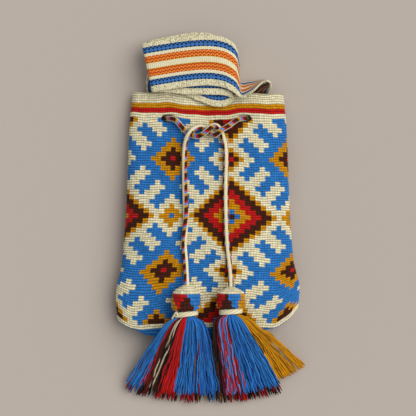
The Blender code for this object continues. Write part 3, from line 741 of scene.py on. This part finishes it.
def make_strap(material):
    stations = []
    for x, y, z, azimuth, drop, width in STRAP_ROUTE:
        azimuth, drop = math.radians(azimuth), math.radians(drop)
        stations.append((x / 1000, y / 1000, z / 1000, math.cos(drop) * math.cos(azimuth),
                         math.cos(drop) * math.sin(azimuth), -math.sin(drop), width / 1000))
    fine = curve_line(stations, 12)
    length = float(np.sum(np.linalg.norm(np.diff(fine[:, :3], axis=0), axis=1)))
    places, _ = even_line(fine, round(length / STRAP_STEP))
    steps = len(places)
    near, width = places[:, :3], places[:, 6:7]
    away = places[:, 3:6] / np.linalg.norm(places[:, 3:6], axis=1, keepdims=True)
    forward = np.gradient(near, axis=0)
    middle = np.gradient(near + away * width / 2, axis=0)
    both = (forward / np.linalg.norm(forward, axis=1, keepdims=True)
            + middle / np.maximum(np.linalg.norm(middle, axis=1, keepdims=True), 1e-12))
    out = np.cross(away, both)
    out /= np.linalg.norm(out, axis=1, keepdims=True)
    u = np.arange(STRAP_ACROSS + 1) / STRAP_ACROSS
    sheet = near[:, None] + away[:, None] * (width[:, None] * u[None, :, None])
    rib = (np.arange(steps) % 2 == 0)[:, None] * 1.0
    cell = (np.arange(STRAP_ACROSS + 1) % 2 == 0)[None, :] * 1.0
    weave = 0.7 * rib + 0.3 * np.abs(rib - cell)
    edge = np.minimum(u, 1 - u)[None, :] * STRAP_ACROSS
    half = STRAP_THICKNESS / 2 * np.clip(0.45 + 0.3 * edge, 0, 1) * (0.78 + 0.28 * weave)
    face = sheet + out[:, None] * half[..., None]
    back = sheet - out[:, None] * half[..., None]
    loops = np.concatenate([face, back[:, ::-1]], axis=1)
    woven, kinds = strap_colours(steps - 1)
    woven *= np.where((kinds == "check") | (kinds == "zigzag"), WARP_GAIN, 1.0)[..., None]
    far_edge, near_edge = woven[:, -1:], woven[:, :1]
    colours = np.concatenate([woven, far_edge, woven[:, ::-1], near_edge], axis=1)
    # Painted shade in the gaps between the ribs of the weave
    shade = 0.62 + 0.40 * np.concatenate([weave, weave[:, ::-1]], axis=1)
    faces = grid_faces(steps, loops.shape[1], True)
    corner = shaded(colours, shade, faces)
    strap = new_piece("woven_strap", loops, faces, corner, material)
    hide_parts("strap")


# Radius of the cap and distance from its top
CAP_PROFILE = [(0.0030, 0.0), (0.0052, 0.0006), (0.0095, 0.0028), (0.0140, 0.0054), (0.0168, 0.0080),
               (0.0181, 0.0108), (0.0188, 0.0170), (0.0194, 0.0250), (0.0194, 0.0315), (0.0182, 0.0338),
               (0.0160, 0.0336)]
CAP_ROWS = 9
CROWN_ROWS = 4
CAP_STITCHES = 26
CAP_QUADS = 5
CAP_RELIEF = 0.0013
CAP_SINK = 0.0008

# Borders between yarns over each cap's top: (place below the crown as a share of the half width,
# change per row, yarn to the left of it)
CAP_BORDERS = {
    "left": ((-1.05, 0.11, "gold"), (-0.10, -0.13, "red"), (0.10, 0.09, "brown"),
             (1.15, -0.12, "blue")),
    "right": ((-1.20, 0.09, "gold"), (-0.38, -0.12, "red"), (-0.35, 0.15, "brown"),
              (0.68, -0.08, "blue")),
}


def cap_colour(row, stitch, side):
    """Stepped colour blocks round the cap. Stitch 0 is underneath."""
    if row < CROWN_ROWS:
        return "cream"
    turn = 2 * math.pi * (stitch + 0.5) / CAP_STITCHES
    across = -math.sin(turn)
    if math.cos(turn) > 0.2:
        return "gold" if across > 0 else "brown"
    for start, change, name in CAP_BORDERS[side]:
        if across < start + change * (row - CROWN_ROWS):
            return name
    return "gold"


def make_cap(name, x0, material):
    rows, around, sub = CAP_ROWS, CAP_STITCHES, CAP_QUADS
    rise, cap_length, _ = TASSEL_PLACES[name]
    line, _ = even_line(curve_line([(r, d * cap_length / CAP_LENGTH, 0.0) for r, d in CAP_PROFILE], 16),
                        rows * sub + 1)
    angle = -math.pi / 2 - 2 * math.pi * np.arange(around * sub) / (around * sub)
    row, stitch = np.arange(rows * sub + 1) // sub, np.arange(around * sub) // sub
    t, s = np.arange(rows * sub + 1) % sub / sub, np.arange(around * sub) % sub / sub
    over = (s[None, :] + 0.5 * t[:, None]) % 1.0
    height = np.sin(math.pi * t)[:, None] ** 0.6 * (0.3 + 0.7 * np.sin(math.pi * over) ** 0.7)
    lump = rng.random((rows + 1, around))[row[:, None], stitch[None, :]]
    height = height * (0.8 + 0.35 * lump)
    radius = line[:, :1] + CAP_RELIEF * height - CAP_SINK
    swing = angle[None, :] - 0.12 * t[:, None]
    points = np.stack([x0 + radius * np.cos(swing), TASSEL_TOP_Y + rise - line[:, 1:2] + 0 * radius,
                       tassel_height() + CAP_FLATNESS * radius * np.sin(swing)], axis=-1)
    yarns = np.array([[YARN[cap_colour(r, c, name)] for c in range(around)] for r in range(rows)])
    colours = yarns[row[:-1][:, None], stitch[None, :]] * (0.88 + 0.22 * lump[:-1])[..., None]
    faces = grid_faces(points.shape[0], points.shape[1], True)
    # Painted shade in the valleys between the stitches
    corner = shaded(colours, 0.42 + 0.62 * np.clip(height, 0, 1), faces)
    cap = new_piece(f"crocheted_cap_{name}", points, faces, corner, material)
    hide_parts(f"tassel_cap_{name}")


def twisted(steps, sides, twist):
    """Relief and painted shade of a yarn of two plies along a tube, from 0 in the groove to 1."""
    along = np.arange(steps)[None, :, None]
    angle = 2 * math.pi * np.arange(sides)[None, None, :] / sides
    return np.abs(np.cos(angle + along * twist))


# The yarn wound round each fringe, and the small knot that shows at the left binding, from the
# middle of the binding's top
BINDING_TURNS = 4
BINDING_TILT = {"left": -0.11, "right": -0.06}
BINDING_RADIUS = 0.0145
BINDING_EDGE = 0.0012
BINDING_YARN_RADIUS = 0.00128
KNOT_YARN_RADIUS = 0.00125
PLY_TWIST = 0.42
KNOT = [(-0.0118, -0.0010, 0.0085), (-0.0150, -0.0030, 0.0075), (-0.0158, -0.0062, 0.0060),
        (-0.0130, -0.0070, 0.0085), (-0.0118, -0.0040, 0.0100), (-0.0145, -0.0034, 0.0082),
        (-0.0175, -0.0075, 0.0050), (-0.0188, -0.0105, 0.0030)]


def make_binding(name, x0, material):
    turns, per_turn, sides = BINDING_TURNS, 72, 12
    steps = turns * per_turn + 1
    at = np.arange(steps) / per_turn
    rise, cap_length, _ = TASSEL_PLACES[name]
    y0 = TASSEL_TOP_Y + rise - cap_length - CLEARANCE
    z0 = tassel_height()
    across = BINDING_RADIUS * np.cos(2 * math.pi * at)
    y = y0 - BINDING_EDGE - (BINDING_WIDTH - 2 * BINDING_EDGE) * at / turns
    z = z0 + CAP_FLATNESS * BINDING_RADIUS * np.sin(2 * math.pi * at)
    path = np.stack([x0 + across, y - BINDING_TILT[name] * across, z], axis=1)
    ply = twisted(steps, sides, PLY_TWIST)
    # Painted shade in the grooves between the plies
    colours = YARN["cream"] * (0.60 + 0.45 * ply)[..., None]
    colours = colours * (0.9 + 0.12 * rng.random((1, steps, 1, 1)))
    radii = BINDING_YARN_RADIUS * (0.84 + 0.2 * ply)
    parts = [tubes(path[None], radii, sides, colours, up=(0.0, 1.0, 0.0))]
    if name == "left":
        knot_steps = 60
        line, _ = even_line(curve_line([(x0 + x, y0 + y, z0 + z) for x, y, z in KNOT], 8), knot_steps)
        ply = twisted(knot_steps, sides, PLY_TWIST)
        # Painted shade in the grooves between the plies
        colours = YARN["cream"] * (0.62 + 0.42 * ply)[..., None]
        radii = KNOT_YARN_RADIUS * (0.84 + 0.2 * ply)
        parts.append(tubes(line[None], radii, sides, colours, up=(0.3, 0.2, 1.0)))
    starts = np.cumsum([0] + [len(points) for points, _, _ in parts])
    binding = new_piece(f"wound_binding_{name}", np.concatenate([points for points, _, _ in parts]),
                        np.concatenate([faces + start for (_, faces, _), start in zip(parts, starts)]),
                        np.concatenate([corner for _, _, corner in parts]), material)
    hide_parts(f"tassel_binding_{name}")


# Yarns across each fringe, from its left side to its right: (upper end of the share, yarns), first
# of the strands on top and then of those beneath, whose ends show past them
FRINGE_YARNS = {
    "left": (
        [(0.15, ("blue",) * 6 + ("cobalt", "wine")), (0.19, ("wine", "red", "brown")),
         (0.243, ("brown", "brown", "wine")), (0.248, ("linen",)), (0.295, ("brown", "black", "olive")),
         (0.300, ("linen",)), (0.36, ("black", "brown", "black")), (0.52, ("red",)),
         (0.70, ("blue",) * 6 + ("cobalt", "cobalt")), (0.80, ("cobalt", "blue", "wine", "olive")),
         (1.01, ("blue",) * 4 + ("cobalt",) * 3)],
        [(0.14, ("cobalt", "wine")), (0.36, ("wine", "black", "brown")),
         (0.52, ("red", "wine", "black")), (0.72, ("black", "wine", "red")),
         (0.82, ("olive", "black", "wine")), (1.01, ("cobalt", "black", "olive"))]),
    "right": (
        [(0.07, ("brown", "brown", "black")), (0.12, ("red", "red", "wine")),
         (0.36, ("light", "red", "light", "wine", "blue")), (0.41, ("blue", "red")),
         (0.74, ("blue",) * 7 + ("cobalt", "cobalt")), (0.77, ("blue", "cobalt", "black")),
         (1.01, ("gold",) * 5)],
        [(0.10, ("black", "brown")), (0.40, ("red", "wine", "wine", "black")),
         (0.62, ("wine", "black", "red")), (0.76, ("black", "wine")),
         (1.01, ("gold",) * 9 + ("olive",))]),
}
# How the strands fan out: (share from the left side, degrees to the right)
FRINGE_ANGLES = {"left": [(0, -31.5), (0.5, -11), (1, 10)],
                 "right": [(0, 6), (0.4, 13), (0.74, 27.5), (0.78, 31), (1, 46)]}
STRANDS = 300
STRAND_RADIUS = 0.00102
# The strands' lengths as shares of the fringe's, and the share of them that lie on top
STRANDS_ON_TOP = 0.6
TOP_LENGTHS = (0.885, 0.945)
UNDER_LENGTHS = (0.985, 1.03)
# The right fringe's gold strands lie beneath, from this share of its width on, and are shorter
GOLD_FROM = 0.76
GOLD_LENGTH = 0.90
# The fringe's half thickness: (distance from its neck, metres)
FRINGE_DEPTH = [(0, NECK_RADIUS * CAP_FLATNESS), (0.007, 0.0095), (0.03, 0.0085),
                (FRINGE_LENGTH, 0.0050)]


def pick_yarn(table, share):
    for high, yarns in table:
        if share < high:
            break
    return yarns[rng.integers(len(yarns))]


def make_fringe(name, x0, material):
    steps, sides = 22, 6
    side = rng.uniform(-1, 1, STRANDS)
    on_top = rng.random(STRANDS) < STRANDS_ON_TOP
    share = (side + 1) / 2
    behind = (name == "right") & (share > GOLD_FROM)
    on_top &= ~behind
    layer = np.where(on_top, rng.uniform(0.25, 1.0, STRANDS), rng.uniform(-1.0, 0.2, STRANDS))
    layer *= np.sqrt(1 - 0.75 * side ** 2)
    top_length, under_length = rng.uniform(*TOP_LENGTHS, STRANDS), rng.uniform(*UNDER_LENGTHS, STRANDS)
    length = FRINGE_LENGTH * np.where(on_top, top_length, under_length)
    rise, cap_length, longer = TASSEL_PLACES[name]
    length *= np.where(behind, GOLD_LENGTH, longer)
    angle = np.radians(np.interp(share, *zip(*FRINGE_ANGLES[name])) + rng.normal(0, 0.8, STRANDS))
    d = np.linspace(0, 1, steps)[None, :] * length[:, None]
    opened = ease(d / FRINGE_LENGTH * 3)
    depth = through(FRINGE_DEPTH, d)
    phase = rng.uniform(0, 2 * math.pi, (STRANDS, 1))
    sway = opened * (0.0010 * np.sin(d * 75 + phase) + 0.0005 * np.sin(d * 230 + phase * 2)
                     + 0.00022 * np.sin(d * 900 + phase * 5))
    bulge = FRINGE_BULGE * (1 - np.exp(-2.2 * d / FRINGE_BULGE_LENGTH))
    x = side[:, None] * (0.96 * NECK_RADIUS + bulge) + d * np.sin(angle)[:, None] + sway
    y = -d * np.cos(angle[:, None] * opened)
    z = (tassel_height() + through(FRINGE_DROP, d) + layer[:, None] * (depth - STRAND_RADIUS)
         + 0.0006 * np.sin(d * 110 + phase * 3) * opened)
    paths = np.stack([x, y, z], axis=-1)
    start = paths[:, :1]
    # Each strand begins hidden under the binding and inside the cap
    hidden = np.concatenate([start + [0, BINDING_WIDTH + 0.0035, 0], start + [0, 0.004, 0]], axis=1)
    paths = np.concatenate([hidden, paths], axis=1)
    paths += [x0, TASSEL_TOP_Y + rise - cap_length - BINDING_WIDTH - CLEARANCE, 0]
    steps += 2
    radius = np.full((STRANDS, steps), STRAND_RADIUS) * rng.uniform(0.85, 1.12, (STRANDS, 1))
    radius[:, -1] *= 0.45
    top_yarns, under_yarns = FRINGE_YARNS[name]
    yarns = [pick_yarn(top_yarns if on_top[k] else under_yarns, share[k]) for k in range(STRANDS)]
    colours = np.array([YARN[yarn] for yarn in yarns]) * rng.uniform(0.66, 1.04, (STRANDS, 1))
    # Painted shade in waves along each strand, for its twist
    ply = 0.78 + 0.26 * np.abs(np.sin(np.linspace(0, 24, steps)[None, :] + phase))
    colours = colours[:, None] * ply[..., None]
    points, faces, corner = tubes(paths, radius, sides, colours, up=(0.05, 0.1, 1.0))
    points[:, 2] = np.maximum(points[:, 2], 0.0003)
    fringe = new_piece(f"yarn_fringe_{name}", points, faces, corner, material)
    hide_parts(f"tassel_fringe_{name}")


FLOOR_HALF_SIZE = 3.0
FLOOR_DROP = 0.0004
AIR_STRENGTH = 0.44
# The key light is a wide, even softbox to the upper right, made as a sun of its width in degrees
KEY_ENERGY = 2.36
KEY_ANGLE = 56
KEY_PLACE = (1.3, 0.55, 1.75)


def make_stage():
    material = bpy.data.materials.new("floor")
    material.use_nodes = True
    shader = material.node_tree.nodes["Principled BSDF"]
    shader.inputs["Base Color"].default_value = (*srgb(184, 173, 163), 1.0)
    shader.inputs["Roughness"].default_value = 0.95
    shader.inputs["Specular IOR Level"].default_value = 0.1
    mesh = bpy.data.meshes.new("floor")
    size = FLOOR_HALF_SIZE
    corners = [(-size, -size, 0), (size, -size, 0), (size, size, 0), (-size, size, 0)]
    mesh.from_pydata(corners, [], [(0, 1, 2, 3)])
    mesh.materials.append(material)
    floor = bpy.data.objects.new("floor", mesh)
    bpy.context.scene.collection.objects.link(floor)
    floor.location.z = -FLOOR_DROP

    world = bpy.data.worlds.new("studio")
    world.use_nodes = True
    world.node_tree.nodes["Background"].inputs["Color"].default_value = (0.96, 0.98, 1.0, 1.0)
    world.node_tree.nodes["Background"].inputs["Strength"].default_value = AIR_STRENGTH
    bpy.context.scene.world = world
    light = bpy.data.lights.new("key", "SUN")
    light.energy = KEY_ENERGY
    light.angle = math.radians(KEY_ANGLE)
    light.color = (1.0, 0.985, 0.96)
    lamp = bpy.data.objects.new("key", light)
    bpy.context.scene.collection.objects.link(lamp)
    lamp.location = KEY_PLACE
    lamp.rotation_euler = (-lamp.location).to_track_quat("-Z", "Y").to_euler()


# The camera looks straight down, and its frame is this wide at the height of the front
CAMERA_HEIGHT = 2.0
FRAME_HEIGHT = 0.034
FRAME_WIDTH = 0.5616


def make_camera():
    data = bpy.data.cameras.new("camera")
    data.sensor_width = 36.0
    data.lens = data.sensor_width * (CAMERA_HEIGHT - FRAME_HEIGHT) / FRAME_WIDTH
    camera = bpy.data.objects.new("camera", data)
    bpy.context.scene.collection.objects.link(camera)
    camera.location = (0.0, 0.0, CAMERA_HEIGHT)
    bpy.context.scene.camera = camera


bpy.context.scene.view_settings.view_transform = "Standard"
make_camera()
crochet = yarn_material("crochet_yarn", fibre=850.0, bump=0.4, vary=0.16)
braid = yarn_material("braid_yarn", fibre=1100.0, bump=0.35, vary=0.16)
woven = yarn_material("woven_yarn", fibre=1200.0, bump=0.3, vary=0.12)
strand = yarn_material("fringe_yarn", fibre=1300.0, bump=0.3, vary=0.2)
make_cord(braid)
make_body(crochet)
make_strap(woven)
for side_name, tassel_x in TASSELS.items():
    make_cap(side_name, tassel_x, crochet)
    make_binding(side_name, tassel_x, crochet)
    make_fringe(side_name, tassel_x, strand)
make_stage()
